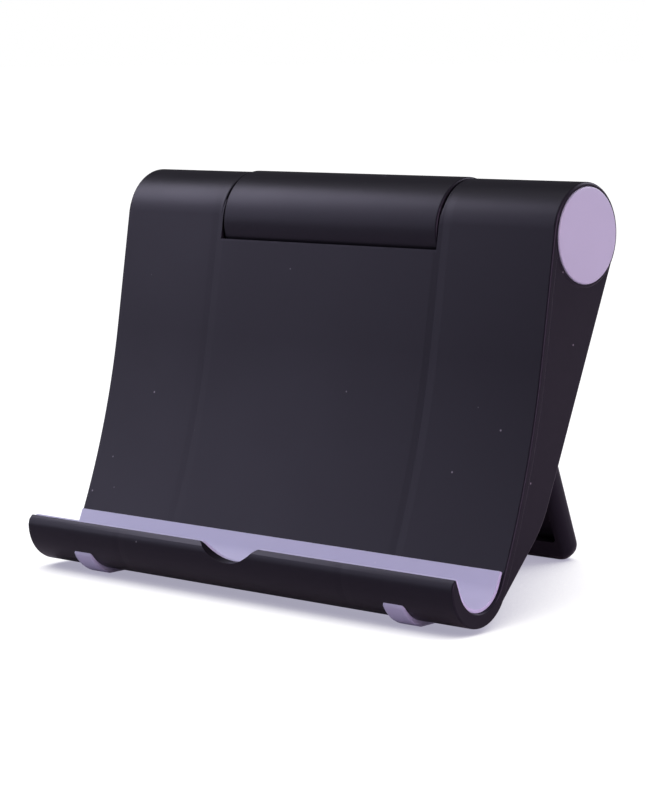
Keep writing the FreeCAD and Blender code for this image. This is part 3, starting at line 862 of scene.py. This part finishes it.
hiddenLooks = {
    "bolt_steel": {
        "name": "zincSteel",
        "colour": (0.50, 0.50, 0.53),
        "tone": (0.60, 0.60, 0.62),
        "roughness": (0.3, 0.45),
        "grain": {"Size": 1800, "Tone Size": 300},
        "metal": 1.0,
    },
    "spring_steel": {
        "name": "springWire",
        "colour": (0.42, 0.41, 0.39),
        "tone": (0.52, 0.51, 0.49),
        "roughness": (0.2, 0.35),
        "grain": {"Size": 1800, "Tone Size": 300},
        "metal": 1.0,
    },
    "detent_acetal": {
        "name": "naturalAcetal",
        "colour": (0.68, 0.66, 0.60),
        "tone": (0.76, 0.75, 0.70),
        "roughness": (0.35, 0.5),
        "grain": {"Size": 2200, "Tone Size": 150},
        "metal": 0.0,
    },
}
hiddenBump = (0.2, 0.01)


def makeHidden(groups, look):
    material, tree, shader = newMaterial(look["name"])
    grain = placeGroup(tree, groups["grain"], look["grain"])
    colour = mixColour(tree, grain.outputs["Tone"], look["colour"], look["tone"])
    tree.links.new(colour, shader.inputs["Base Color"])
    rough = rangeNode(tree, grain.outputs["Tone"], 0.3, 0.7, *look["roughness"])
    tree.links.new(rough, shader.inputs["Roughness"])
    shader.inputs["Metallic"].default_value = look["metal"]
    grainBump(tree, shader, grain.outputs["Height"], *hiddenBump)
    return material


# the pieces inside the hinge keep their modelled shape
def dressHidden(groups):
    finishes = {slot: makeHidden(groups, look) for slot, look in hiddenLooks.items()}
    slots = {s["node"]: s["material_slot"] for s in frame["record"]["subparts"]}
    for name, node in frame["nodes"].items():
        if slots[name] in finishes:
            node.data.materials.clear()
            node.data.materials.append(finishes[slots[name]])
    print("hidden pieces dressed")


stage = {
    "floorSize": 40.0,
    "floorColour": (0.12, 0.12, 0.13),  # low, because the glow is added to it
    "floorBounce": (0.62, 0.56, 0.62),  # what the floor throws back at the stand
    "shade": (0.36, 0.35, 0.44),  # painted shadow: the floor's glow colour close under the stand, seen by the camera only
    "open": (1.05, 1.05, 1.05),
    "shadeReach": 0.10,  # metres
    "shadeRange": (0.24, 0.68),
    "sunStrength": 0.7,
    "sunAngle": 70,
    "sunTurn": (14, -16),
    "skyColour": (0.96, 0.94, 1.06),
    "skyStrength": 0.10,
}
aimPoint = (0, 0, 0.045)
softboxes = {
    # name: place, size, power, colour
    "barrelBox": ((-0.26, -0.105, 0.285), 0.17, 0.52, (1.0, 0.97, 1.12)),
    "frontBox": ((-0.55, -0.46, 0.28), 0.40, 1.22, (1.0, 0.97, 1.14)),
    "sideBox": ((0.60, -0.12, 0.22), 0.40, 3.0, (1.0, 0.72, 0.92)),
    "backBox": ((0.20, 0.50, 0.35), 0.40, 1.6, (1.0, 0.97, 1.1)),
}


def makeFloor():
    deselectAll()
    bpy.ops.mesh.primitive_plane_add(size=stage["floorSize"], location=(0, 0, 0))
    floor = bpy.context.object
    floor.name = "floor"
    material, tree, shader = newMaterial("paleFloor")
    shader.inputs["Roughness"].default_value = 0.85
    shader.inputs["Specular IOR Level"].default_value = 0.1
    path = addNode(tree, "ShaderNodeLightPath")
    seen = path.outputs["Is Camera Ray"]
    colour = mixColour(tree, seen, stage["floorBounce"], stage["floorColour"])
    tree.links.new(colour, shader.inputs["Base Color"])
    # painted shadow: the camera-only glow fades to the shade colour where ambient occlusion finds the stand close,
    # standing in for its shadow on the floor
    closed = addNode(tree, "ShaderNodeAmbientOcclusion", samples=16)
    closed.inputs["Distance"].default_value = stage["shadeReach"]
    clear = rangeNode(tree, closed.outputs["AO"], *stage["shadeRange"])
    glow = mixColour(tree, clear, stage["shade"], stage["open"])
    tree.links.new(glow, shader.inputs["Emission Color"])
    tree.links.new(seen, shader.inputs["Emission Strength"])
    floor.data.materials.append(material)


def makeLights():
    sun = bpy.data.lights.new("overhead", "SUN")
    sun.energy, sun.angle = stage["sunStrength"], math.radians(stage["sunAngle"])
    lamp = bpy.data.objects.new("overhead", sun)
    lamp.rotation_euler = [math.radians(a) for a in (*stage["sunTurn"], 0)]
    bpy.context.scene.collection.objects.link(lamp)
    for name, (where, size, power, colour) in softboxes.items():
        soft = bpy.data.lights.new(name, "AREA")
        soft.energy, soft.size, soft.color = power, size, colour
        lamp = bpy.data.objects.new(name, soft)
        lamp.location = where
        lamp.visible_camera = False
        aim = Vector(aimPoint) - Vector(where)
        lamp.rotation_euler = aim.to_track_quat("-Z", "Y").to_euler()
        bpy.context.scene.collection.objects.link(lamp)


def makeSky():
    world = bpy.data.worlds.new("studio")
    world.use_nodes = True
    tree = world.node_tree
    background = next(n for n in tree.nodes if n.type == "BACKGROUND")
    path = addNode(tree, "ShaderNodeLightPath")
    dim = [c * stage["skyStrength"] for c in stage["skyColour"]]
    seen = mixColour(tree, path.outputs["Is Camera Ray"], dim, (1, 1, 1))
    tree.links.new(seen, background.inputs["Color"])
    bpy.context.scene.world = world


camera = {
    "place": (0.31539, -0.37092, 0.09618),
    "azimuth": 41.1,
    "elevation": 7.53,
    "roll": -0.5,
    "lens": 117.4,
}


def makeCamera():
    data = bpy.data.cameras.new("camera")
    data.lens, data.sensor_width = camera["lens"], 36
    data.clip_start, data.clip_end = 0.01, 100
    view = bpy.data.objects.new("camera", data)
    tilt = Matrix.Rotation(math.radians(90 - camera["elevation"]), 4, "X")
    around = Matrix.Rotation(math.radians(camera["azimuth"]), 4, "Z")
    roll = Matrix.Rotation(math.radians(camera["roll"]), 4, "Z")
    view.matrix_world = Matrix.Translation(camera["place"]) @ around @ tilt @ roll
    bpy.context.scene.collection.objects.link(view)
    bpy.context.scene.camera = view


def main():
    bpy.context.scene.view_settings.view_transform = "Standard"
    groups = {"grain": makeGrainGroup(), "dust": makeDustGroup(), "wear": makeWearGroup()}
    makeCradle(makeSatinBlack("satinBlackPlate", groups, satinBlack, withSinks=True))
    makeLeg(makeSatinBlack("satinBlackLeg", groups, satinBlack))
    makeLiner(makeLilac("linerSilicone", groups, softLilac))
    makeFeet(makeLilac("footSilicone", groups, softLilac))
    makeCaps(makeLilac("capPlastic", groups, capLilac))
    dressHidden(groups)
    makeFloor()
    makeLights()
    makeSky()
    makeCamera()
    print("stage, lights and camera made")


main()
